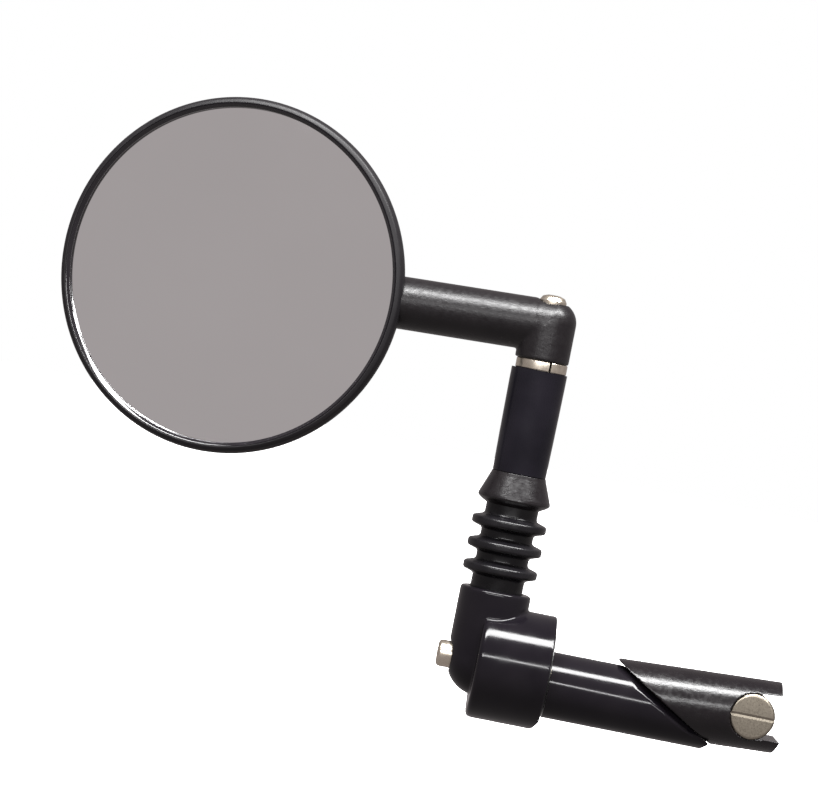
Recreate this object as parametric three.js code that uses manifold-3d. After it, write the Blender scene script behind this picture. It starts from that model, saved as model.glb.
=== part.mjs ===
import * as THREE from 'three';
import { mergeVertices } from 'three/addons/utils/BufferGeometryUtils.js';
import Module from 'manifold-3d';

const wasm = await Module();
wasm.setup();

// Frame, millimetres: X runs along the handlebar into its open end, Z up the arm,
// the mirror faces -Y. The origin is on the expander bolt's axis at the bar's end face.

// Arm axis and the heights along it, counted from the bolt axis.
const ARM_X = -15.1;
const CUP_MOUTH_Z = 16.3;
const RIB_Z = [20.9, 26.1, 31.3];
const COLLAR_BASE_Z = 35.6;
const COLLAR_TOP_Z = 42.5;
const ARM_TOP_Z = 66.4;
const ELBOW_BASE_Z = 68.7;
const STEM_Z = 76.7;

// Mirror head.
const SWIVEL_DEG = -13.3;
const DROOP_DEG = -1.9;
const HEAD_REACH = 73.7;
const STEM_R = 6.0;
const ELBOW_R = 6.1;
const RIM_FRONT_Y = -7.5;
const GLASS_R = 38.8;
const GLASS_T = 2.0;
const GLASS_CURVE_R = 700;

// Screws, washers and the arm.
const SCREW_R = 1.95;
const SCREW_HEAD_R = 3.05;
const ARM_TOP_R = 6.35;
const ARM_FOOT_R = 6.05;
const ARM_BORE_R = 4.3;
const ROD_R = 3.2;

// Ribbed neck and knuckle.
const BOOT_CORE_R = 5.95;
const RIB_R = 8.45;
const CUP_R = 8.05;
const CUP_BORE_R = 6.25;
const BARREL_R = 12.95;
const BARREL_LEFT_X = -16.7;
const BARREL_RIGHT_X = -0.35;

// Expander.
const BOLT_R = 2.0;
const BOLT_HEAD_R = 3.05;
const BOLT_HEAD_X = -25.4;
const PLUG_R = 7.5;
const PLUG_BORE_R = 5.8;
const PLUG_DROP = 2.4;
const CUT_DEG = 31.5;
const CUT_TOP_X = 14.7;
const WEDGE_R = 8.05;
const WEDGE_TILT_DEG = -2.7;
const NUT_X = 46.2;
const NUT_R = 5.15;
const SLOT_HALF = 5.45;
const SLOT_LIP_Z = -4.75;

const rad = THREE.MathUtils.degToRad;

// A closed, outward-facing triangle body from any three.js geometry.
function toManifold(geometry) {
  const bare = geometry.clone();
  for (const name of ['normal', 'uv']) {
    bare.deleteAttribute(name);
  }
  const merged = mergeVertices(bare, 1e-4);
  const source = merged.index.array;
  const pos = merged.attributes.position;
  let tris = [];
  let volume = 0;
  for (let i = 0; i < source.length; i += 3) {
    const [a, b, c] = [source[i], source[i + 1], source[i + 2]];
    if (a !== b && b !== c && c !== a) {
      tris.push(a, b, c);
      const p = [a, b, c].map((k) => new THREE.Vector3().fromBufferAttribute(pos, k));
      volume += p[0].dot(p[1].clone().cross(p[2]));
    }
  }
  if (volume < 0) {
    tris = tris.reverse();
  }
  const mesh = new wasm.Mesh({
    numProp: 3,
    vertProperties: new Float32Array(pos.array),
    triVerts: new Uint32Array(tris),
  });
  return new wasm.Manifold(mesh);
}

// Solid of revolution about Z from [radius, height] pairs.
function turned(profile, segments = 40) {
  const points = profile.map(([r, z]) => new THREE.Vector2(r, z));
  if (profile[0][0] !== 0) {
    points.push(points[0].clone());
  }
  return toManifold(new THREE.LatheGeometry(points, segments).rotateX(Math.PI / 2));
}

function rod(radius, z0, z1, segments = 40) {
  return turned([[0, z0], [radius, z0], [radius, z1], [0, z1]], segments);
}

function block(x0, x1, y0, y1, z0, z1) {
  const box = new THREE.BoxGeometry(x1 - x0, y1 - y0, z1 - z0);
  return toManifold(box.translate((x0 + x1) / 2, (y0 + y1) / 2, (z0 + z1) / 2));
}

// Turn a body built along Z so that it lies along X, or faces -Y.
const alongX = (body) => body.rotate([0, 90, 0]);
const facingFront = (body) => body.rotate([90, 0, 0]);
const onArm = (body) => body.translate([ARM_X, 0, 0]);

// Points of an arc in a profile, from angle a0 to a1 in degrees.
function arc(cx, cz, r, a0, a1, steps) {
  const points = [];
  for (let i = 0; i <= steps; i += 1) {
    const a = rad(a0 + ((a1 - a0) * i) / steps);
    points.push([cx + r * Math.cos(a), cz + r * Math.sin(a)]);
  }
  return points;
}

// Place a head piece built with its optical axis on +Z, at the end of the drooping stem.
const drooped = (body) => body.rotate([0, DROOP_DEG, 0]);
const onHead = (body) => drooped(facingFront(body).translate([-HEAD_REACH, RIM_FRONT_Y, 0]));

// Swing a piece built around the arm axis to the head's resting direction.
function swivelled(body, z = 0) {
  return onArm(body.translate([0, 0, z]).rotate([0, 0, SWIVEL_DEG]));
}

const glassFront = (r) => -0.58 - (r * r) / (2 * GLASS_CURVE_R);

function mirrorGlass() {
  const radii = [0, 13, 26, GLASS_R];
  const back = radii.map((r) => [r, glassFront(r) - GLASS_T]);
  const front = radii.map((r) => [r, glassFront(r)]).reverse();
  return swivelled(onHead(turned([...back, ...front], 64)), STEM_Z);
}

function glassFoamPad() {
  const front = [36.8, 24, 12, 0].map((r) => [r, glassFront(r) - GLASS_T - 0.3]);
  return swivelled(onHead(turned([[0, -5.9], [36.8, -5.9], ...front], 48)), STEM_Z);
}

function mirrorHousing() {
  const shell = turned([
    [0, -14.6], [10, -14.3], [20, -13.4], [28.5, -11.6], [34.6, -9.3], [38.1, -7.0],
    [40.0, -4.8], [40.8, -2.7], [40.6, -1.3], [40.0, -0.4], [39.2, 0], [0, 0],
  ], 64);
  const hollow = turned([
    [0, -12.6], [20, -11.4], [29.5, -9.6], [30.5, -6.2], [37.4, -6.2], [37.4, -3.9],
    [39.2, -3.9], [39.2, -1.3], [38.1, -1.3], [38.1, -0.95], [39.8, 0.6], [0, 0.6],
  ], 64);
  const stem = drooped(alongX(rod(STEM_R, -62, 0, 36)));
  const base = ELBOW_BASE_Z - STEM_Z;
  const post = turned([
    [0, base], [ELBOW_R - 0.4, base], [ELBOW_R, base + 0.4], ...arc(1.1, 0.9, 5, 0, 90, 7), [0, 5.9],
  ], 36);
  // The stem's round carries on over the post, as on a bent tube.
  const over = alongX(rod(ELBOW_R, -7, 7, 36)).add(block(-7, 7, -7, 7, -9, 0));
  const elbow = post.intersect(over);
  const screwHole = turned([[0, -20], [2.3, -20], [2.3, 3.9], [3.45, 3.9], [3.45, 20], [0, 20]], 32);
  const body = onHead(shell).add(stem).add(elbow).subtract(onHead(hollow)).subtract(screwHole);
  return swivelled(body, STEM_Z);
}

function elbowScrew() {
  const seat = 81.4;
  const body = turned([
    [0, 55], [SCREW_R - 0.4, 55], [SCREW_R, 55.4], [SCREW_R, seat], [SCREW_HEAD_R, seat],
    [SCREW_HEAD_R, 82.3], [2.85, 82.9], [2.3, 83.4], [1.3, 83.65], [0, 83.75],
  ], 32);
  const slot = block(-1.7, 1.7, -0.35, 0.35, 82.4, 85);
  return onArm(body.subtract(slot).subtract(slot.rotate([0, 0, 90])));
}

function flatWasher(outer, inner, z0, z1, segments = 36) {
  return turned([[inner, z0], [outer, z0], [outer, z1], [inner, z1]], segments);
}

// A washer split across one side, its ends sprung apart by `lift` along its axis.
function splitWasher(outer, inner, thickness, lift, gapAngle, segments) {
  const edge = 0.2;
  const ring = turned([
    [inner, 0], [outer - edge, 0], [outer, edge], [outer, thickness - edge],
    [outer - edge, thickness], [inner, thickness],
  ], segments);
  const cut = block(0, outer + 1, -0.35, 0.35, -1, thickness + 1);
  const flat = ring.subtract(cut.rotate([0, 0, gapAngle]));
  return flat.warp((v) => {
    const turn = (Math.atan2(v[1], v[0]) - rad(gapAngle)) / (2 * Math.PI);
    v[2] += lift * (turn - Math.floor(turn));
  });
}

function elbowSpringWasher() {
  return onArm(splitWasher(5.6, 2.5, 1.7, 0.3, -72, 40).translate([0.2, 0, 66.55]));
}

function armTopInsert() {
  return onArm(turned([
    [2.25, 54], [4.0, 54], [4.0, 57.5], [3.6, 57.9], [3.6, 61.6], [4.0, 62], [4.0, 66.1], [2.25, 66.1],
  ], 32));
}

function armTube() {
  return onArm(turned([
    [ARM_BORE_R, 38.2], [5.2, 38.2], [5.2, COLLAR_TOP_Z + 0.3], [ARM_FOOT_R, COLLAR_TOP_Z + 0.3],
    [ARM_TOP_R, ARM_TOP_Z - 1.2], [ARM_TOP_R - 0.7, ARM_TOP_Z], [ARM_BORE_R, ARM_TOP_Z],
  ], 48));
}

function neckCollar() {
  return onArm(turned([
    [4.3, COLLAR_BASE_Z], [6.0, COLLAR_BASE_Z], [7.7, 36.6], ...arc(7.6, 37.2, 0.6, -50, 50, 3),
    [ARM_FOOT_R, COLLAR_TOP_Z], [5.5, COLLAR_TOP_Z], [5.5, 37.9], [4.3, 37.9],
  ], 48));
}

function ribbedBoot() {
  const profile = [[ROD_R + 0.3, 10.3], [BOOT_CORE_R, 10.3]];
  for (const z of RIB_Z) {
    profile.push([BOOT_CORE_R, z - 1.5], [RIB_R - 0.6, z - 1.05]);
    profile.push(...arc(RIB_R - 0.6, z - 0.4, 0.6, -55, 0, 2), ...arc(RIB_R - 0.6, z + 0.4, 0.6, 0, 55, 2));
    profile.push([RIB_R - 0.6, z + 1.05], [BOOT_CORE_R, z + 1.5]);
  }
  profile.push([BOOT_CORE_R, 35.3], [ROD_R + 0.3, 35.3]);
  return onArm(turned(profile, 36));
}

const PIN_Z = 7.6;
const pinBore = (radius, y0, y1) => facingFront(rod(radius, -y1, -y0, 20)).translate([ARM_X, 0, PIN_Z]);

function neckRod() {
  const bar = turned([
    [0, 5.5], [ROD_R - 0.4, 5.5], [ROD_R, 5.9], [ROD_R, 36.2], [4.0, 36.2], [4.0, 51.6],
    [3.6, 52], [0, 52],
  ], 36);
  return onArm(bar).subtract(pinBore(1.5, -20, 20));
}

const neckRodPin = () => pinBore(1.2, -5, 9.4);

function knuckle() {
  const cup = turned([
    ...arc(0, 0, CUP_R, -90, 0, 8), [CUP_R, CUP_MOUTH_Z - 0.8], [CUP_R - 0.25, CUP_MOUTH_Z - 0.25],
    [CUP_R - 0.8, CUP_MOUTH_Z], [0, CUP_MOUTH_Z],
  ], 48);
  const barrel = alongX(turned([
    [0, BARREL_LEFT_X], ...arc(BARREL_R - 1.4, BARREL_LEFT_X + 1.4, 1.4, -90, 0, 4),
    [BARREL_R, BARREL_RIGHT_X], [0, BARREL_RIGHT_X],
  ], 56));
  const toeCut = block(0, 20, -20, 20, -20, 0).rotate([0, -65, 0]).translate([-1.6, 0, -BARREL_R]);
  const cupBore = rod(CUP_BORE_R, 10, 30, 40).add(rod(ROD_R + 0.3, 5.2, 12, 36));
  const boltBore = alongX(turned([
    [0, -40], [3.5, -40], [3.5, -19.1], [2.3, -19.1], [2.3, -1.8], [10.3, -1.8], [10.3, 5], [0, 5],
  ], 40));
  return onArm(cup)
    .add(barrel)
    .subtract(toeCut)
    .subtract(onArm(cupBore))
    .subtract(boltBore)
    .subtract(pinBore(1.5, -5.4, 20));
}

function expanderBolt() {
  const head = BOLT_HEAD_X;
  const body = turned([
    [0, head], [BOLT_HEAD_R - 0.7, head], [BOLT_HEAD_R - 0.2, head + 0.2], [BOLT_HEAD_R, head + 0.7],
    [BOLT_HEAD_R, head + 4], [BOLT_R, head + 4], [BOLT_R, 49.6], [BOLT_R - 0.4, 50], [0, 50],
  ], 32);
  return alongX(body.subtract(rod(1.73, head - 1, head + 2.2, 6)));
}

const boltLockWasher = () => alongX(splitWasher(3.2, 2.3, 0.8, 0.15, 90, 28).translate([0, 0, -21.15]));
const boltFlatWasher = () => alongX(flatWasher(3.2, 2.3, -19.9, -19.4, 32));

// Its raised outer land seats on the wall of the bar's open end.
function thrustWasher() {
  return alongX(turned([[2.3, -1.5], [10, -1.5], [10, 0], [8.3, 0], [8.1, -0.25], [2.3, -0.25]], 48));
}

// Everything on the far side of the slanted cut, moved off it by `gap`.
function beyondCut(gap) {
  const half = block(-80, 80, -20, 20, 0, 80).translate([0, 0, gap]);
  return half.rotate([0, CUT_DEG, 0]).translate([CUT_TOP_X, 0, PLUG_R - PLUG_DROP]);
}

function barPlug() {
  const tube = turned([[PLUG_BORE_R, 0.3], [PLUG_R, 0.3], [PLUG_R, 38], [PLUG_BORE_R, 38]], 48);
  const tipCut = block(0, 20, -20, 20, -20, 20).rotate([0, 41.7, 0]).translate([37.7, 0, -8.4]);
  return alongX(tube).translate([0, 0, -PLUG_DROP]).subtract(beyondCut(0.75)).subtract(tipCut);
}

function expanderWedge() {
  const tilt = (body) => body.rotate([0, WEDGE_TILT_DEG, 0]).translate([NUT_X, 0, 0]);
  const bar = tilt(alongX(rod(WEDGE_R, -45, 7, 48))).intersect(beyondCut(1.1));
  const bore = tilt(alongX(rod(3.5, -50, 0, 32)));
  const seat = facingFront(rod(SLOT_HALF, -20, 20, 40));
  const slot = tilt(seat.add(block(0, 20, -20, 20, SLOT_LIP_Z, SLOT_HALF)));
  const toeCut = tilt(block(0, 10, -20, 20, -10, 0).rotate([0, 16.4, 0]).translate([7, 0, -4.6]));
  const tipCut = tilt(block(6.2, 12, -20, 20, 0, 12));
  const noseCut = block(-40, 15.2, -20, 20, -20, 20);
  return bar.subtract(bore).subtract(slot).subtract(toeCut).subtract(tipCut).subtract(noseCut);
}

function barrelNut() {
  const body = facingFront(turned([
    [0, -6.4], [NUT_R - 0.5, -6.4], [NUT_R, -5.9], [NUT_R, 5.9], [NUT_R - 0.5, 6.4], [0, 6.4],
  ], 40));
  const slot = block(-10, 10, -10, -5.5, -0.55, 0.55);
  const thread = alongX(rod(2.3, -10, 10, 32));
  return body.subtract(slot).subtract(thread).translate([NUT_X, 0, 0]);
}

const COLORS = {
  mirror: 0xc4c4c6,
  foam: 0x55565a,
  gloss: 0x141416,
  textured: 0x1d1c1e,
  tube: 0x19191d,
  rubber: 0x202022,
  nickel: 0xb9b4a8,
  steel: 0x9a9a9e,
  brass: 0xb08d4a,
  acetal: 0x0f0f10,
};

const PIECES = [
  ['mirror_glass', mirrorGlass, 'mirror'],
  ['glass_foam_pad', glassFoamPad, 'foam'],
  ['mirror_housing', mirrorHousing, 'textured'],
  ['elbow_screw', elbowScrew, 'nickel'],
  ['elbow_screw_washer', () => onArm(flatWasher(3.2, 2.3, 80.65, 81.15, 32)), 'steel'],
  ['elbow_spring_washer', elbowSpringWasher, 'nickel'],
  ['arm_top_insert', armTopInsert, 'brass'],
  ['arm_tube', armTube, 'tube'],
  ['neck_collar', neckCollar, 'textured'],
  ['ribbed_boot', ribbedBoot, 'rubber'],
  ['neck_rod', neckRod, 'steel'],
  ['neck_rod_pin', neckRodPin, 'steel'],
  ['knuckle', knuckle, 'gloss'],
  ['expander_bolt', expanderBolt, 'nickel'],
  ['bolt_lock_washer', boltLockWasher, 'steel'],
  ['bolt_flat_washer', boltFlatWasher, 'steel'],
  ['thrust_washer', thrustWasher, 'acetal'],
  ['bar_plug', barPlug, 'gloss'],
  ['expander_wedge', expanderWedge, 'textured'],
  ['barrel_nut', barrelNut, 'nickel'],
];

function toMesh(name, body, color) {
  const { vertProperties, triVerts } = body.getMesh();
  const geometry = new THREE.BufferGeometry();
  geometry.setAttribute('position', new THREE.BufferAttribute(vertProperties, 3));
  geometry.setIndex(new THREE.BufferAttribute(triVerts, 1));
  geometry.computeVertexNormals();
  const mesh = new THREE.Mesh(geometry, new THREE.MeshStandardMaterial({ color: COLORS[color] }));
  mesh.name = name;
  return mesh;
}

const part = new THREE.Group();
part.name = 'bar_end_mirror';
for (const [name, build, color] of PIECES) {
  part.add(toMesh(name, build(), color));
}

export default part;
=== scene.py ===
"""A bar-end mirror: finer pieces, materials and a studio around the shared frame's CAD."""

import math

import bmesh
import bpy
from mathutils import Matrix, Vector


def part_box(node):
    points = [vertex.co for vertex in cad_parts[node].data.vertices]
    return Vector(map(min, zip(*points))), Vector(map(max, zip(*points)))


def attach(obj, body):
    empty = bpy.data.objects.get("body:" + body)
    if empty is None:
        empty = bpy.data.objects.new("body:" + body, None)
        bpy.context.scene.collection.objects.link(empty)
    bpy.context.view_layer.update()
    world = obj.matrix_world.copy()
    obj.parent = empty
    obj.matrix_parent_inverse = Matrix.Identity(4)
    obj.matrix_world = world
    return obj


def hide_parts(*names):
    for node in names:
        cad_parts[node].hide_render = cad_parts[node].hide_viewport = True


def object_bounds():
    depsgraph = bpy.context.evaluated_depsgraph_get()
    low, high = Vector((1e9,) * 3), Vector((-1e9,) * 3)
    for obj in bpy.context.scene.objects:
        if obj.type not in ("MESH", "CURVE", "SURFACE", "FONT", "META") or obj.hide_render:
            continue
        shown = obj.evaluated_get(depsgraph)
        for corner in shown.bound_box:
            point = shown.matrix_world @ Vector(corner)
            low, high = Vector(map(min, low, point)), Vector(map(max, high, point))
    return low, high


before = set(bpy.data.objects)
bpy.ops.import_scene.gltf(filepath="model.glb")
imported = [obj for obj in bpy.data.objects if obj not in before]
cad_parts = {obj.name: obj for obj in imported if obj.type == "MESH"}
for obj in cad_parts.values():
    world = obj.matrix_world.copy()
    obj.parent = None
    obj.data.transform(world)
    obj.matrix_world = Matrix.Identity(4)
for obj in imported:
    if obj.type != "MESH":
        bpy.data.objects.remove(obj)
cad_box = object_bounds()

MM = 0.001

# Millimetres and degrees, as in the CAD.
SWIVEL = -13.3
DROOP = -1.9
REACH = 73.7
RIM_FRONT = -7.5
GLASS_CURVE = 1400
ELBOW_R = 6.1
ARM_BORE_R = 4.3
BOOT_CORE_R = 5.95
RIB_PITCH = 5.2
CUP_R = 8.05
BARREL_R = 12.95
BOLT_HEAD_R = 3.05
THREAD_PITCH = 0.7
THREAD_LENGTH = 26.0
CUT = 31.5
CUT_TOP_X = 14.7
PLUG_R = 7.5
PLUG_BORE_R = 5.8
WEDGE_R = 8.05
WEDGE_TILT = -2.7
SLOT_LIP = 4.75
SEAT_R = 5.2
NUT_R = 5.15

# The camera: what it looks at and how far away it is, in metres.
CAMERA_TARGET = (-0.04245, 0, 0.05365)
CAMERA_DISTANCE = 0.7
CAMERA_ELEVATION = 1.0
CAMERA_ROLL = 11.2
CAMERA_LENS = 137.2


def low(node):
    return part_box(node)[0] / MM


def high(node):
    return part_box(node)[1] / MM


def centre(node):
    return (low(node) + high(node)) / 2


ARM_X = centre("arm_tube").x
ARM_TOP = high("arm_tube").z
STEM_Z = high("elbow_screw").z - 7.05
NUT_X = centre("barrel_nut").x
BARREL_LEFT = high("knuckle").x - 16.35
BARREL_RIGHT = high("knuckle").x


# ---------------------------------------------------------------- geometry


def rounded(points, steps=5):
    """A profile of (radius, height, fillet) corners as plain points."""
    result = []
    count = len(points)
    for i, (r, z, fillet) in enumerate(points):
        corner = Vector((r, z))
        if fillet <= 0:
            result.append(corner)
            continue
        before = Vector(points[i - 1][:2]) - corner
        after = Vector(points[(i + 1) % count][:2]) - corner
        half = before.angle(after) / 2
        reach = min(fillet / math.tan(half), 0.49 * before.length, 0.49 * after.length)
        a = corner + before.normalized() * reach
        b = corner + after.normalized() * reach
        for k in range(steps + 1):
            t = k / steps
            result.append(a.lerp(corner, t).lerp(corner.lerp(b, t), t))
    return result


def plain(*points):
    return [Vector(p) for p in points]


def arc(r, z, radius, start, end, steps):
    turns = [math.radians(start + (end - start) * k / steps) for k in range(steps + 1)]
    return [Vector((r + radius * math.cos(a), z + radius * math.sin(a))) for a in turns]


AXES = {
    "Z": Matrix.Identity(4),
    "X": Matrix.Rotation(math.radians(90), 4, "Y"),
    "-Y": Matrix.Rotation(math.radians(90), 4, "X"),
}


def place(axis="Z", at=(0, 0, 0)):
    return Matrix.Translation(Vector(at)) @ AXES[axis]


def new_object(name, bm, matrix):
    """Turns a bmesh in millimetres into an object in metres."""
    bmesh.ops.recalc_face_normals(bm, faces=bm.faces)
    mesh = bpy.data.meshes.new(name)
    bm.to_mesh(mesh)
    bm.free()
    mesh.transform(Matrix.Scale(MM, 4) @ matrix)
    obj = bpy.data.objects.new(name, mesh)
    bpy.context.scene.collection.objects.link(obj)
    return smooth(obj)


def smooth(obj, angle=32):
    obj.data.shade_smooth()
    obj.data.set_sharp_from_angle(angle=math.radians(angle))
    return obj


def lathe(name, profile, matrix, steps=128):
    """Revolves a profile. It starts and ends on the axis, or else is a closed ring."""
    bm = bmesh.new()
    rings = []
    for p in profile:
        if p.x < 1e-6:
            rings.append([bm.verts.new((0, 0, p.y))] * steps)
            continue
        turn = [2 * math.pi * k / steps for k in range(steps)]
        rings.append([bm.verts.new((p.x * math.cos(a), p.x * math.sin(a), p.y)) for a in turn])
    pairs = list(zip(rings, rings[1:]))
    if profile[0].x > 1e-6:
        pairs.append((rings[-1], rings[0]))
    for inner, outer in pairs:
        for k in range(steps):
            n = (k + 1) % steps
            corners = []
            for v in (inner[k], inner[n], outer[n], outer[k]):
                if v not in corners:
                    corners.append(v)
            if len(corners) > 2:
                bm.faces.new(corners)
    return new_object(name, bm, matrix)


def rod(name, radius, z0, z1, matrix, steps=96):
    return lathe(name, plain((0, z0), (radius, z0), (radius, z1), (0, z1)), matrix, steps)


def block(name, lo, hi, matrix=Matrix.Identity(4)):
    bm = bmesh.new()
    bmesh.ops.create_cube(bm, size=1)
    lo, hi = Vector(lo), Vector(hi)
    bmesh.ops.scale(bm, vec=hi - lo, verts=bm.verts)
    bmesh.ops.translate(bm, vec=(lo + hi) / 2, verts=bm.verts)
    return new_object(name, bm, matrix)


def prism(name, outline, y0, y1, matrix):
    """A closed (x, z) outline extruded from y0 to y1."""
    bm = bmesh.new()
    near = [bm.verts.new((x, y0, z)) for x, z in outline]
    far = [bm.verts.new((x, y1, z)) for x, z in outline]
    bm.faces.new(near)
    bm.faces.new(far)
    for k in range(len(outline)):
        n = (k + 1) % len(outline)
        bm.faces.new((near[k], near[n], far[n], far[k]))
    return new_object(name, bm, matrix)


def bake(obj):
    """Applies an object's modifiers."""
    graph = bpy.context.evaluated_depsgraph_get()
    mesh = bpy.data.meshes.new_from_object(obj.evaluated_get(graph))
    obj.modifiers.clear()
    obj.data = mesh
    return obj


def combine(obj, other, operation):
    modifier = obj.modifiers.new("combine", "BOOLEAN")
    modifier.operation = operation
    modifier.object = other
    modifier.solver = "EXACT"
    bake(obj)
    bpy.data.objects.remove(other)
    return smooth(obj)


def cut(obj, other):
    return combine(obj, other, "DIFFERENCE")


def join(obj, other):
    return combine(obj, other, "UNION")


def soften(obj, voxel, rounds):
    """Rebuilds a moulding as one skin with small radii on all its edges."""
    remesh = obj.modifiers.new("skin", "REMESH")
    remesh.mode = "VOXEL"
    remesh.voxel_size = voxel * MM
    relax = obj.modifiers.new("relax", "SMOOTH")
    relax.factor = 0.5
    relax.iterations = rounds
    bake(obj)
    obj.data.shade_smooth()
    return obj


# --------------------------------------------------------------- materials


def material(name, base, roughness, metallic=0.0, gloss=0.28):
    mat = bpy.data.materials.new(name)
    mat.use_nodes = True
    shader = mat.node_tree.nodes["Principled BSDF"]
    shader.inputs["Base Color"].default_value = (*base, 1)
    shader.inputs["Roughness"].default_value = roughness
    shader.inputs["Metallic"].default_value = metallic
    shader.inputs["Specular IOR Level"].default_value = 0.5 if metallic else gloss
    return mat


def noise(mat, scale, detail=3.0, stretch=(1, 1, 1)):
    """A noise value over the object's own space; scale is features per metre."""
    nodes, links = mat.node_tree.nodes, mat.node_tree.links
    coords = nodes.new("ShaderNodeTexCoord")
    mapping = nodes.new("ShaderNodeMapping")
    mapping.inputs["Scale"].default_value = stretch
    texture = nodes.new("ShaderNodeTexNoise")
    texture.inputs["Scale"].default_value = scale
    texture.inputs["Detail"].default_value = detail
    links.new(coords.outputs["Object"], mapping.inputs["Vector"])
    links.new(mapping.outputs["Vector"], texture.inputs["Vector"])
    return texture.outputs["Fac"]


def spread(mat, value, low_in, high_in, low_out, high_out):
    remap = mat.node_tree.nodes.new("ShaderNodeMapRange")
    remap.inputs["From Min"].default_value = low_in
    remap.inputs["From Max"].default_value = high_in
    remap.inputs["To Min"].default_value = low_out
    remap.inputs["To Max"].default_value = high_out
    mat.node_tree.links.new(value, remap.inputs["Value"])
    return remap.outputs["Result"]


def vary_roughness(mat, value, low_out, high_out):
    shader = mat.node_tree.nodes["Principled BSDF"]
    mapped = spread(mat, value, 0.3, 0.7, low_out, high_out)
    mat.node_tree.links.new(mapped, shader.inputs["Roughness"])


def vary_colour(mat, value, dark, light):
    nodes, links = mat.node_tree.nodes, mat.node_tree.links
    ramp = nodes.new("ShaderNodeValToRGB")
    ramp.color_ramp.elements[0].position = 0.35
    ramp.color_ramp.elements[0].color = (*dark, 1)
    ramp.color_ramp.elements[1].position = 0.7
    ramp.color_ramp.elements[1].color = (*light, 1)
    links.new(value, ramp.inputs["Fac"])
    links.new(ramp.outputs["Color"], nodes["Principled BSDF"].inputs["Base Color"])


def add_bump(mat, value, strength, depth_mm):
    nodes, links = mat.node_tree.nodes, mat.node_tree.links
    shader = nodes["Principled BSDF"]
    bump = nodes.new("ShaderNodeBump")
    bump.inputs["Strength"].default_value = strength
    bump.inputs["Distance"].default_value = depth_mm * MM
    links.new(value, bump.inputs["Height"])
    if shader.inputs["Normal"].is_linked:
        links.new(shader.inputs["Normal"].links[0].from_socket, bump.inputs["Normal"])
    links.new(bump.outputs["Normal"], shader.inputs["Normal"])


def grained(name, roughness, coarse, fine, gloss):
    """Spark-eroded moulding: a fine even grain that breaks up the highlights."""
    mat = material(name, (0.006, 0.005, 0.0055), 0.3, gloss=gloss)
    add_bump(mat, noise(mat, 1700, 2, (0.5, 1, 1)), coarse, 0.06)
    add_bump(mat, noise(mat, 3600, 2), fine, 0.04)
    vary_roughness(mat, noise(mat, 900, 3), roughness - 0.05, roughness + 0.07)
    vary_colour(mat, noise(mat, 120, 4), (0.0032, 0.0024, 0.003), (0.0052, 0.0042, 0.0048))
    return mat


def housing_plastic():
    mat = material("housing_plastic", (0.006, 0.0052, 0.006), 0.3, gloss=0.2)
    add_bump(mat, noise(mat, 1800, 2), 0.22, 0.03)
    add_bump(mat, noise(mat, 90, 2), 0.12, 0.1)
    vary_roughness(mat, noise(mat, 300, 4), 0.4, 0.5)
    vary_colour(mat, noise(mat, 60, 4), (0.0045, 0.004, 0.0048), (0.008, 0.007, 0.008))
    return mat


def gloss_plastic(name="gloss_plastic", gloss=0.2):
    """Polished moulding with faint flow waves and hairline scratches."""
    mat = material(name, (0.004, 0.0033, 0.0045), 0.12, gloss=gloss)
    add_bump(mat, noise(mat, 70, 1), 0.05, 0.1)
    add_bump(mat, noise(mat, 900, 6, (0.12, 1, 1)), 0.05, 0.01)
    vary_roughness(mat, noise(mat, 220, 5), 0.08, 0.16)
    vary_colour(mat, noise(mat, 80, 3), (0.0032, 0.0026, 0.0038), (0.0055, 0.0046, 0.006))
    return mat


def tube_paint():
    mat = material("tube_paint", (0.005, 0.0045, 0.0065), 0.2, gloss=0.13)
    add_bump(mat, noise(mat, 1500, 3, (1, 1, 0.06)), 0.06, 0.02)
    vary_roughness(mat, noise(mat, 260, 4), 0.15, 0.24)
    vary_colour(mat, noise(mat, 100, 3), (0.004, 0.0036, 0.0052), (0.0068, 0.006, 0.0085))
    return mat


def rubber():
    mat = material("rubber", (0.004, 0.0036, 0.0044), 0.3, gloss=0.22)
    add_bump(mat, noise(mat, 1600, 4), 0.2, 0.02)
    vary_roughness(mat, noise(mat, 500, 4), 0.22, 0.34)
    vary_colour(mat, noise(mat, 150, 5), (0.003, 0.0027, 0.0034), (0.0065, 0.006, 0.007))
    return mat


def nickel():
    """Plated fastener with fine turning marks."""
    mat = material("nickel", (0.6, 0.54, 0.45), 0.26, metallic=1.0)
    add_bump(mat, noise(mat, 2400, 3, (1, 0.2, 1)), 0.03, 0.01)
    vary_roughness(mat, noise(mat, 900, 3), 0.24, 0.36)
    vary_colour(mat, noise(mat, 700, 4), (0.57, 0.51, 0.42), (0.64, 0.58, 0.49))
    return mat


def shaded_nickel():
    """The cross nut's plating: a darker copy of the bolts' nickel, its darkness painted shade on the
    nut's flat face; finely scuffed.
    """
    mat = material("shaded_nickel", (0.27, 0.24, 0.195), 0.3, metallic=1.0)
    add_bump(mat, noise(mat, 2400, 3, (1, 1, 0.1)), 0.02, 0.01)
    vary_roughness(mat, noise(mat, 3000, 2), 0.26, 0.34)
    vary_colour(mat, noise(mat, 3000, 2), (0.26, 0.232, 0.188), (0.28, 0.25, 0.203))
    return mat


def plain_steel():
    mat = material("steel", (0.42, 0.42, 0.44), 0.38, metallic=1.0)
    add_bump(mat, noise(mat, 2200, 4, (1, 1, 0.15)), 0.15, 0.02)
    vary_roughness(mat, noise(mat, 600, 4), 0.3, 0.48)
    vary_colour(mat, noise(mat, 350, 5), (0.34, 0.34, 0.36), (0.5, 0.5, 0.52))
    return mat


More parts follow.
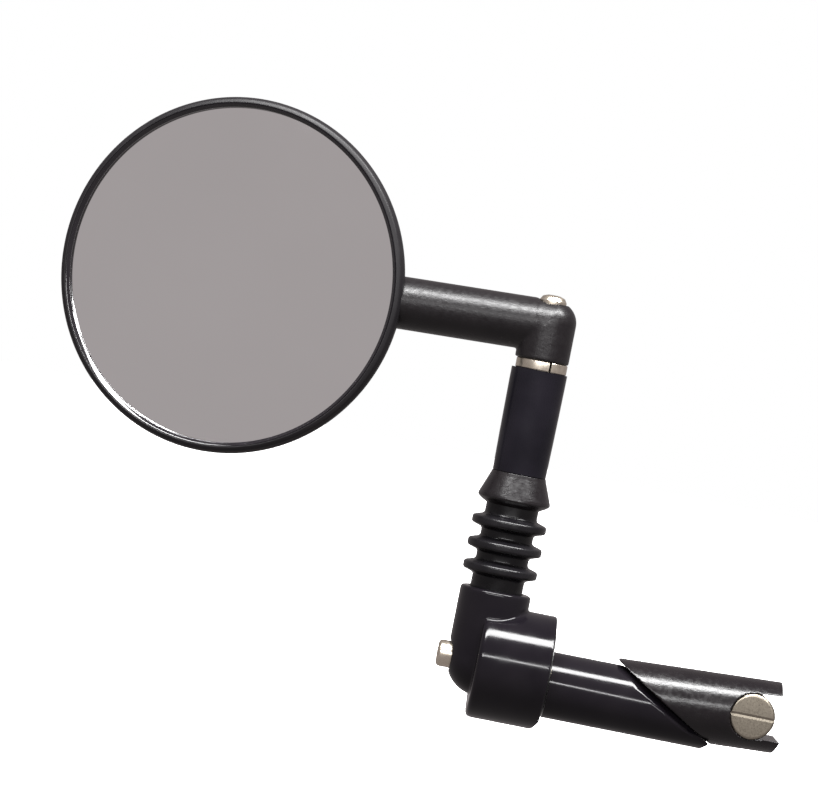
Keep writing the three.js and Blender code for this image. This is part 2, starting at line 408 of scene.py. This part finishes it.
def brass():
    mat = material("brass", (0.6, 0.42, 0.17), 0.32, metallic=1.0)
    add_bump(mat, noise(mat, 2200, 4), 0.15, 0.02)
    vary_roughness(mat, noise(mat, 500, 4), 0.25, 0.42)
    vary_colour(mat, noise(mat, 300, 5), (0.5, 0.34, 0.13), (0.68, 0.5, 0.22))
    return mat


def slide_plastic():
    mat = material("slide_plastic", (0.012, 0.012, 0.012), 0.3)
    add_bump(mat, noise(mat, 1500, 3), 0.08, 0.01)
    vary_roughness(mat, noise(mat, 400, 4), 0.24, 0.38)
    vary_colour(mat, noise(mat, 200, 4), (0.01, 0.01, 0.01), (0.016, 0.016, 0.016))
    return mat


def foam():
    mat = material("foam", (0.05, 0.05, 0.052), 0.9)
    add_bump(mat, noise(mat, 1400, 5), 0.7, 0.2)
    vary_roughness(mat, noise(mat, 900, 4), 0.8, 0.98)
    vary_colour(mat, noise(mat, 900, 5), (0.03, 0.03, 0.032), (0.085, 0.085, 0.09))
    return mat


def mirror_face():
    """Silvered glass with a trace of dust in its finish."""
    mat = material("mirror_face", (0.9, 0.9, 0.905), 0.02, metallic=1.0)
    vary_roughness(mat, noise(mat, 180, 6), 0.008, 0.03)
    vary_colour(mat, noise(mat, 40, 3), (0.89, 0.89, 0.895), (0.905, 0.905, 0.91))
    return mat


MATERIALS = {
    "textured_plastic": grained("textured_plastic", 0.34, 0.5, 0.5, 0.32),
    "wedge_plastic": grained("wedge_plastic", 0.24, 0.42, 0.3, 0.3),
    "collar_plastic": grained("collar_plastic", 0.3, 0.5, 0.4, 0.36),
    "housing_plastic": housing_plastic(),
    "gloss_plastic": gloss_plastic(),
    "bevel_gloss": gloss_plastic("bevel_gloss", 0.6),
    "painted_tube": tube_paint(),
    "rubber": rubber(),
    "nickel": nickel(),
    # The nut's nickel is a darker copy; the darkness is painted shade.
    "shaded_nickel": shaded_nickel(),
    "steel": plain_steel(),
    "brass": brass(),
    "slide_plastic": slide_plastic(),
    "foam": foam(),
    "mirror": mirror_face(),
}


def dress(obj, body, nodes, slot, look=None):
    """Finishes a piece: its material, the body it rides on and the nodes it stands for."""
    obj.data.materials.clear()
    obj.data.materials.append(MATERIALS[look or slot])
    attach(obj, body)
    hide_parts(*nodes)
    return obj


# ------------------------------------------------------------------ pieces


def head_matrix():
    """Millimetres along the optical axis, at the end of the drooping, swivelled stem."""
    swivel = Matrix.Rotation(math.radians(SWIVEL), 4, "Z")
    droop = Matrix.Rotation(math.radians(DROOP), 4, "Y")
    elbow = Matrix.Translation((ARM_X, 0, STEM_Z))
    return elbow @ swivel @ droop


def build_glass():
    def front(r):
        return -0.58 - r * r / GLASS_CURVE

    radii = [38.5 * k / 14 for k in range(15)]
    back = [(r, front(r) - 2.0, 0) for r in radii]
    edge = [(38.8, front(38.8) - 2.0, 0.2), (38.8, front(38.8), 0.2)]
    face = [(r, front(r), 0) for r in reversed(radii)]
    matrix = head_matrix() @ place("-Y", (-REACH, RIM_FRONT, 0))
    glass = lathe("glass", rounded(back + edge + face, 3), matrix, 224)
    dress(smooth(glass, 15), "mirror_head", ["mirror_glass"], "mirror")


def build_housing():
    shell_profile = rounded([
        (0, -14.6, 0), (10, -14.3, 6), (20, -13.4, 9), (28.5, -11.6, 8), (34.6, -9.3, 6),
        (38.1, -7.0, 3), (40.0, -4.8, 2), (40.73, -2.9, 1.2), (40.7, -1.7, 0.8),
        (40.2, -0.6, 0.9),
        (39.1, -0.02, 0.3), (39.1, -1.5, 0), (39.2, -1.5, 0), (39.2, -3.9, 0.2),
        (37.4, -3.9, 0), (37.4, -6.2, 0.3), (30.5, -6.2, 0.3), (29.5, -9.6, 0.5), (20, -11.4, 3),
        (0, -12.6, 0),
    ], 6)
    matrix = head_matrix() @ place("-Y", (-REACH, RIM_FRONT, 0))
    shell = lathe("housing_shell", shell_profile, matrix, 224)
    dress(shell, "mirror_head", ["mirror_housing"], "textured_plastic", "housing_plastic")
    bevel = rounded([(39.12, -0.02, 0.15), (38.3, -0.8, 0.2), (38.3, -1.5, 0), (39.12, -1.5, 0)], 4)
    lip = lathe("rim_inner_bevel", bevel, matrix, 224)
    dress(lip, "mirror_head", ["mirror_housing"], "gloss_plastic", "bevel_gloss")

    stem = rod("stem_and_elbow", 6.0, -60, 0, head_matrix() @ place("X"))
    base = low("elbow_spring_washer").z + 2.13 - STEM_Z
    swivel = Matrix.Rotation(math.radians(SWIVEL), 4, "Z")
    at_elbow = Matrix.Translation((ARM_X, 0, STEM_Z)) @ swivel
    corner = arc(ELBOW_R - 5, 0.9, 5, 0, 90, 20)
    profile = plain((0, base), (5.9, base), (ELBOW_R, base + 0.2)) + corner + plain((0, 5.9))
    post = lathe("elbow_post", profile, at_elbow, 120)
    over = rod("elbow_round", 6.04, -7, 7, at_elbow @ place("X"), 120)
    join(over, block("elbow_below", (-7, -7, -9), (7, 7, -0.01), at_elbow))
    combine(post, over, "INTERSECT")
    join(stem, post)
    hole = plain((0, -20), (2.3, -20), (2.3, 3.9), (3.3, 3.9), (3.3, 20), (0, 20))
    cut(stem, lathe("elbow_hole", hole, at_elbow, 64))
    inside = plain(
        (0, -12.9), (20, -11.7), (29.9, -9.9), (30.8, -6.5), (37.7, -6.5), (37.7, -4.2),
        (39.4, -4.2), (39.4, 4), (0, 4),
    )
    cut(stem, lathe("dish_hollow", inside, matrix, 128))
    soften(stem, 0.24, 8)
    dress(stem, "mirror_head", ["mirror_housing"], "textured_plastic")


def build_elbow_screw():
    top = high("elbow_screw").z
    seat = top - 2.35
    profile = rounded([
        (0, seat - 26.4, 0), (1.95, seat - 26.4, 0.4), (1.95, seat, 0.1), (3.05, seat, 0.15),
        (3.05, top - 1.35, 0.5), (2.5, top - 0.45, 0.8), (1.3, top - 0.06, 1.0), (0, top, 0),
    ], 6)
    screw = lathe("elbow_screw_fine", profile, place("Z", (ARM_X, 0, 0)), 96)
    for turn in (25, 115):
        spin = Matrix.Translation((ARM_X, 0, top)) @ Matrix.Rotation(math.radians(turn), 4, "Z")
        cut(screw, block("drive_slot", (-1.65, -0.36, -1.3), (1.65, 0.36, 1), spin))
    dress(screw, "knuckle_and_arm", ["elbow_screw"], "nickel")


def split_ring(name, inner, outer, thickness, lift, gap_angle, gap, matrix):
    """A spring washer: rounded section, cut through, its ends sprung apart."""
    section = rounded([
        (inner, 0, 0.12), (outer, 0, 0.35), (outer, thickness, 0.35), (inner, thickness, 0.12),
    ], 4)
    steps = 112
    start = math.radians(gap_angle) + gap / outer / 2
    sweep = 2 * math.pi - gap / outer
    bm = bmesh.new()
    rings = []
    for k in range(steps + 1):
        share = k / steps
        turn = start + sweep * share
        rings.append([
            bm.verts.new((p.x * math.cos(turn), p.x * math.sin(turn), p.y + lift * share))
            for p in section
        ])
    count = len(section)
    for a, b in zip(rings, rings[1:]):
        for k in range(count):
            n = (k + 1) % count
            bm.faces.new((a[k], a[n], b[n], b[k]))
    bm.faces.new(rings[0])
    bm.faces.new(rings[-1])
    return new_object(name, bm, matrix)


def build_spring_washer():
    lo, hi = low("elbow_spring_washer"), high("elbow_spring_washer")
    at = ((lo.x + hi.x) / 2, 0, lo.z - 0.22)
    ring = split_ring("elbow_spring_washer_fine", 2.5, 5.8, 2.34, 0.06, -72, 0.5, place("Z", at))
    dress(ring, "knuckle_and_arm", ["elbow_spring_washer"], "nickel")


def build_arm():
    foot = low("arm_tube").z
    step = foot + 4.6
    tube = rounded([
        (ARM_BORE_R, foot, 0.2), (5.2, foot, 0.3), (5.2, step, 0), (6.05, step, 0.2),
        (6.2, step + 9, 8), (6.33, ARM_TOP - 3, 2), (6.33, ARM_TOP, 0), (ARM_BORE_R, ARM_TOP, 0.1),
    ], 6)
    piece = lathe("arm_tube_fine", tube, place("Z", (ARM_X, 0, 0)), 144)
    dress(piece, "knuckle_and_arm", ["arm_tube"], "painted_tube")

    base = low("neck_collar").z
    top = high("neck_collar").z
    collar = rounded([
        (ARM_BORE_R, base, 0), (6.0, base - 0.25, 0.2), (7.5, base + 0.6, 0.7),
        (8.25, base + 1.2, 0.8), (8.1, base + 1.9, 0.8), (6.35, top - 0.5, 1.5), (6.12, top + 0.25, 0.1),
        (5.5, top + 0.25, 0.1), (5.5, base + 2.3, 0), (ARM_BORE_R, base + 2.3, 0),
    ], 8)
    piece = lathe("neck_collar_fine", collar, place("Z", (ARM_X, 0, 0)), 144)
    dress(piece, "knuckle_and_arm", ["neck_collar"], "textured_plastic", "collar_plastic")


def build_boot():
    lo, hi = low("ribbed_boot"), high("ribbed_boot")
    first = lo.z + 10.6
    profile = plain((3.5, lo.z), (BOOT_CORE_R, lo.z))
    for k in range(3):
        z = first + RIB_PITCH * k
        profile += arc(6.75, z - 2.2, 0.8, 180, 105, 6) + arc(7.75, z - 0.32, 0.7, -75, 0, 8)
        profile += arc(7.75, z + 0.32, 0.7, 0, 75, 8) + arc(6.75, z + 2.2, 0.8, 255, 180, 6)
    profile += plain((BOOT_CORE_R, hi.z + 0.1), (3.5, hi.z + 0.1))
    boot = lathe("ribbed_boot_fine", profile, place("Z", (ARM_X, 0, 0)), 160)
    dress(boot, "knuckle_and_arm", ["ribbed_boot"], "rubber")


def build_knuckle():
    mouth = high("knuckle").z
    turns = [math.radians(a) for a in range(0, 90, 5)]
    heel = [(CUP_R * math.sin(a), -CUP_R * math.cos(a), 0) for a in turns]
    cup = rounded([*heel, (CUP_R, 0, 0), (CUP_R, mouth, 0.8), (0, mouth, 0)], 6)
    body = lathe("knuckle_fine", cup, place("Z", (ARM_X, 0, 0)), 160)
    barrel = lathe("barrel", rounded([
        (0, BARREL_LEFT, 0), (BARREL_R, BARREL_LEFT, 1.5), (BARREL_R, BARREL_RIGHT, 0.25),
        (0, BARREL_RIGHT, 0),
    ], 8), place("X"), 200)
    join(body, barrel)
    toe = Matrix.Translation((-1.6, 0, -BARREL_R)) @ Matrix.Rotation(math.radians(-65), 4, "Y")
    cut(body, block("toe", (0, -20, -20), (20, 20, 0), toe))
    at_arm = place("Z", (ARM_X, 0, 0))
    cut(body, lathe("cup_bore", rounded([
        (0, 5.2, 0), (3.5, 5.2, 0), (3.5, 10, 0), (6.15, 10, 0), (6.15, mouth + 9, 0),
        (0, mouth + 9, 0),
    ]), at_arm, 120))
    cut(body, lathe("bolt_bore", plain(
        (0, -40), (3.5, -40), (3.5, -19.1), (2.3, -19.1), (2.3, -1.8), (10.3, -1.8), (10.3, 5),
        (0, 5),
    ), place("X"), 96))
    cut(body, rod("pin_bore", 1.5, -20, 5.4, place("-Y", (ARM_X, 0, centre("neck_rod_pin").z)), 48))
    soften(body, 0.24, 8)
    dress(body, "knuckle_and_arm", ["knuckle"], "gloss_plastic")


def build_bolt():
    head = low("expander_bolt").x
    end = high("expander_bolt").x
    rim = arc(2.1, head + 0.95, 0.95, -90, 0, 12)
    start = end - THREAD_LENGTH
    side = plain((BOLT_HEAD_R, head + 4), (2.0, head + 4), (2.0, start), (0, start))
    shank = lathe("expander_bolt_fine", [Vector((0, head)), *rim, *side], place("X"), 96)
    cut(shank, rod("socket", 1.73, -1, 2.2, place("X", (head, 0, 0)), 6))
    dress(shank, "clamp_bolt", ["expander_bolt"], "nickel")
    build_thread(start, end)


def build_thread(start, end):
    """The bolt's helical thread; it stays off the ends and tapers towards the tip."""
    around, per_turn = 40, 8
    rows = int(THREAD_LENGTH / THREAD_PITCH * per_turn)
    bm = bmesh.new()
    rings = []
    for k in range(rows + 1):
        x = start + THREAD_LENGTH * k / rows
        taper = 0.35 * (1 - min(1, (end - x) / 0.5))
        at_end = min(end - x, x - start) <= 0
        ring = []
        for j in range(around):
            phase = (x / THREAD_PITCH - j / around) % 1
            depth = 0.36 * min(1, max(0, 1.25 * abs(2 * phase - 1) - 0.12))
            r = 1.5 if at_end else 1.99 - depth - taper
            turn = 2 * math.pi * j / around
            ring.append(bm.verts.new((r * math.cos(turn), r * math.sin(turn), x)))
        rings.append(ring)
    for a, b in zip(rings, rings[1:]):
        for j in range(around):
            n = (j + 1) % around
            bm.faces.new((a[j], a[n], b[n], b[j]))
    bm.faces.new(rings[0])
    bm.faces.new(rings[-1])
    thread = new_object("expander_bolt_thread", bm, place("X"))
    dress(thread, "clamp_bolt", ["expander_bolt"], "nickel")


def beyond_cut(name, gap):
    """The space on the wedge's side of the slanted cut, moved off it by gap."""
    top = Vector((CUT_TOP_X, 0, high("bar_plug").z))
    matrix = Matrix.Translation(top) @ Matrix.Rotation(math.radians(CUT), 4, "Y")
    return block(name, (-80, -20, gap), (80, 20, 80), matrix)


def slanted_pipe(name, inner, outer, rim_height, rim_drop, gap, steps=240):
    """A pipe from x = 0.3 to the slanted cut, its outer edge there rounded over."""
    lo = low("bar_plug")
    axis_z = lo.z + PLUG_R
    top = Vector((CUT_TOP_X, high("bar_plug").z))
    slope = math.tan(math.radians(CUT))

    def reach(y, z, back):
        return top.x + (top.y - z) / slope + (gap - back) / math.sin(math.radians(CUT))

    chamfer = [(1.0, 0.0), (0.97, 0.03), (0.45, 0.6), (0.12, 0.93), (0.03, 1.08), (0.0, 1.3)]
    bm = bmesh.new()
    rings = []
    for j in range(steps):
        a = 2 * math.pi * j / steps
        share = 1 - 0.85 * min(1, max(0, (abs(math.sin(a)) - 0.5) / 0.4))
        section = [(inner, 0.3), (inner, 0.0)]
        section += [(outer - rim_drop * share * d, rim_height * share * h) for d, h in chamfer]
        ends = [(r * math.cos(a), axis_z + r * math.sin(a)) for r in (outer, inner)]
        ring = [bm.verts.new((0.3, y, z)) for y, z in ends]
        for r, back in section:
            y, z = r * math.cos(a), axis_z + r * math.sin(a)
            ring.append(bm.verts.new((reach(y, z, back), y, z)))
        rings.append(ring)
    count = len(rings[0])
    for j in range(steps):
        n = (j + 1) % steps
        for k in range(count):
            m = (k + 1) % count
            bm.faces.new((rings[j][k], rings[j][m], rings[n][m], rings[n][k]))
    return new_object(name, bm, Matrix.Identity(4))


def build_plug():
    tube = slanted_pipe("bar_plug_fine", PLUG_BORE_R, PLUG_R, 1.5, 1.4, 0.92)
    tip = Matrix.Translation((37.7, 0, -8.4)) @ Matrix.Rotation(math.radians(41.7), 4, "Y")
    cut(tube, block("tip", (0, -20, -20), (20, 20, 20), tip))
    dress(tube, "plug", ["bar_plug"], "gloss_plastic")


def build_wedge():
    tilt = Matrix.Translation((NUT_X, 0, 0)) @ Matrix.Rotation(math.radians(WEDGE_TILT), 4, "Y")
    wedge = rod("expander_wedge_fine", WEDGE_R, -45, 7, tilt @ place("X"), 160)
    combine(wedge, beyond_cut("side", 1.05), "INTERSECT")
    cut(wedge, rod("bore", 3.5, -50, 0, tilt @ place("X"), 64))
    lip = math.degrees(math.asin(SLOT_LIP / SEAT_R))
    seat = [tuple(p) for p in arc(0, 0, SEAT_R, 90, 360 - lip, 40)]
    cut(wedge, prism("slot", seat + [(20, -SLOT_LIP), (20, 5.5), (4, 5.3)], -20, 20, tilt))
    toe = tilt @ Matrix.Translation((7.0, 0, -4.6)) @ Matrix.Rotation(math.radians(16.4), 4, "Y")
    cut(wedge, block("toe", (0, -20, -10), (10, 20, 0), toe))
    cut(wedge, block("tip", (6.2, -20, 0), (12, 20, 12), tilt))
    cut(wedge, block("nose", (-40, -20, -20), (15.1, 20, 20)))
    soften(wedge, 0.2, 4)
    dress(wedge, "wedge_and_nut", ["expander_wedge"], "textured_plastic", "wedge_plastic")


def build_nut():
    at = place("-Y", (NUT_X, 0, 0))
    nut = lathe("barrel_nut_fine", rounded([
        (0, -6.4, 0), (NUT_R, -6.4, 0.7), (NUT_R, 6.4, 0.7), (0, 6.4, 0),
    ], 10), at, 144)
    across = Matrix.Translation((NUT_X, 0, 0)) @ Matrix.Rotation(math.radians(-90), 4, "Z")
    cut(nut, prism("driver_slot", [(7.1, -2.3), (7.1, 2.3), (6.2, 0)], -10, 10, across))
    cut(nut, rod("nut_thread", 2.3, NUT_X - 10, NUT_X + 10, place("X"), 64))
    smooth(nut, 12)
    # The nut gets the darker copy of the nickel, painted shade on its flat face.
    dress(nut, "wedge_and_nut", ["barrel_nut"], "nickel", "shaded_nickel")


build_glass()
build_housing()
build_elbow_screw()
build_spring_washer()
build_arm()
build_boot()
build_knuckle()
build_bolt()
build_plug()
build_wedge()
build_nut()

INNER = {
    "glass_foam_pad": "foam",
    "elbow_screw_washer": "steel",
    "arm_top_insert": "brass",
    "neck_rod": "steel",
    "neck_rod_pin": "steel",
    "bolt_lock_washer": "steel",
    "bolt_flat_washer": "steel",
    "thrust_washer": "slide_plastic",
}
for node, slot in INNER.items():
    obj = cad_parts[node]
    obj.data.materials.clear()
    obj.data.materials.append(MATERIALS[slot])


# ------------------------------------------------------------- surroundings


def build_floor():
    bm = bmesh.new()
    bmesh.ops.create_circle(bm, cap_ends=True, segments=96, radius=4000)
    at = Matrix.Translation((ARM_X, 0, cad_box[0][2] / MM - 60))
    floor = new_object("floor", bm, at)
    mat = material("floor", (0.9, 0.9, 0.9), 0.9)
    shader = mat.node_tree.nodes["Principled BSDF"]
    shader.inputs["Emission Color"].default_value = (1, 1, 1, 1)
    shader.inputs["Emission Strength"].default_value = 0.85
    floor.data.materials.append(mat)
    floor.visible_glossy = False
    floor.visible_diffuse = False


def build_world():
    world = bpy.data.worlds.new("studio")
    bpy.context.scene.world = world
    world.use_nodes = True
    nodes, links = world.node_tree.nodes, world.node_tree.links
    nodes.clear()
    output = nodes.new("ShaderNodeOutputWorld")
    seen = nodes.new("ShaderNodeBackground")
    seen.inputs["Color"].default_value = (1, 1, 1, 1)
    room = nodes.new("ShaderNodeBackground")
    room.inputs["Color"].default_value = (0.39, 0.36, 0.36, 1)
    mix = nodes.new("ShaderNodeMixShader")
    path = nodes.new("ShaderNodeLightPath")
    links.new(path.outputs["Is Camera Ray"], mix.inputs["Fac"])
    links.new(room.outputs["Background"], mix.inputs[1])
    links.new(seen.outputs["Background"], mix.inputs[2])
    links.new(mix.outputs["Shader"], output.inputs["Surface"])


def area_light(name, at, aim, width, height, power, colour=(1, 1, 1)):
    data = bpy.data.lights.new(name, "AREA")
    data.shape = "RECTANGLE"
    data.size = width
    data.size_y = height
    data.energy = power
    data.color = colour
    light = bpy.data.objects.new(name, data)
    bpy.context.scene.collection.objects.link(light)
    light.location = at
    light.rotation_euler = (Vector(aim) - Vector(at)).to_track_quat("-Z", "Y").to_euler()
    return light


def build_lights():
    aim = (0, 0, 0.03)
    area_light("overhead_strip", (0.15, -1.0, 2.3), aim, 3.6, 0.62, 420.0)
    area_light("front_strip", (-0.1, -2.4, 0.72), aim, 2.6, 0.15, 46.0)


def build_camera():
    """A long lens square on to the arm, rolled so that the object leans to the right."""
    elevation, roll = math.radians(CAMERA_ELEVATION), math.radians(CAMERA_ROLL)
    away = Vector((0, -math.cos(elevation), math.sin(elevation)))
    right = (-away).cross(Vector((0, 0, 1))).normalized()
    up = right.cross(-away)
    turned_right = right * math.cos(roll) + up * math.sin(roll)
    turned_up = up * math.cos(roll) - right * math.sin(roll)
    rotation = Matrix((turned_right, turned_up, away)).transposed().to_4x4()
    data = bpy.data.cameras.new("camera")
    data.lens = CAMERA_LENS
    data.sensor_width = 36
    data.clip_start = 0.01
    camera = bpy.data.objects.new("camera", data)
    bpy.context.scene.collection.objects.link(camera)
    at = Vector(CAMERA_TARGET) + away * CAMERA_DISTANCE
    camera.matrix_world = Matrix.Translation(at) @ rotation
    bpy.context.scene.camera = camera


build_floor()
build_world()
build_lights()
build_camera()
bpy.context.scene.view_settings.view_transform = "Standard"
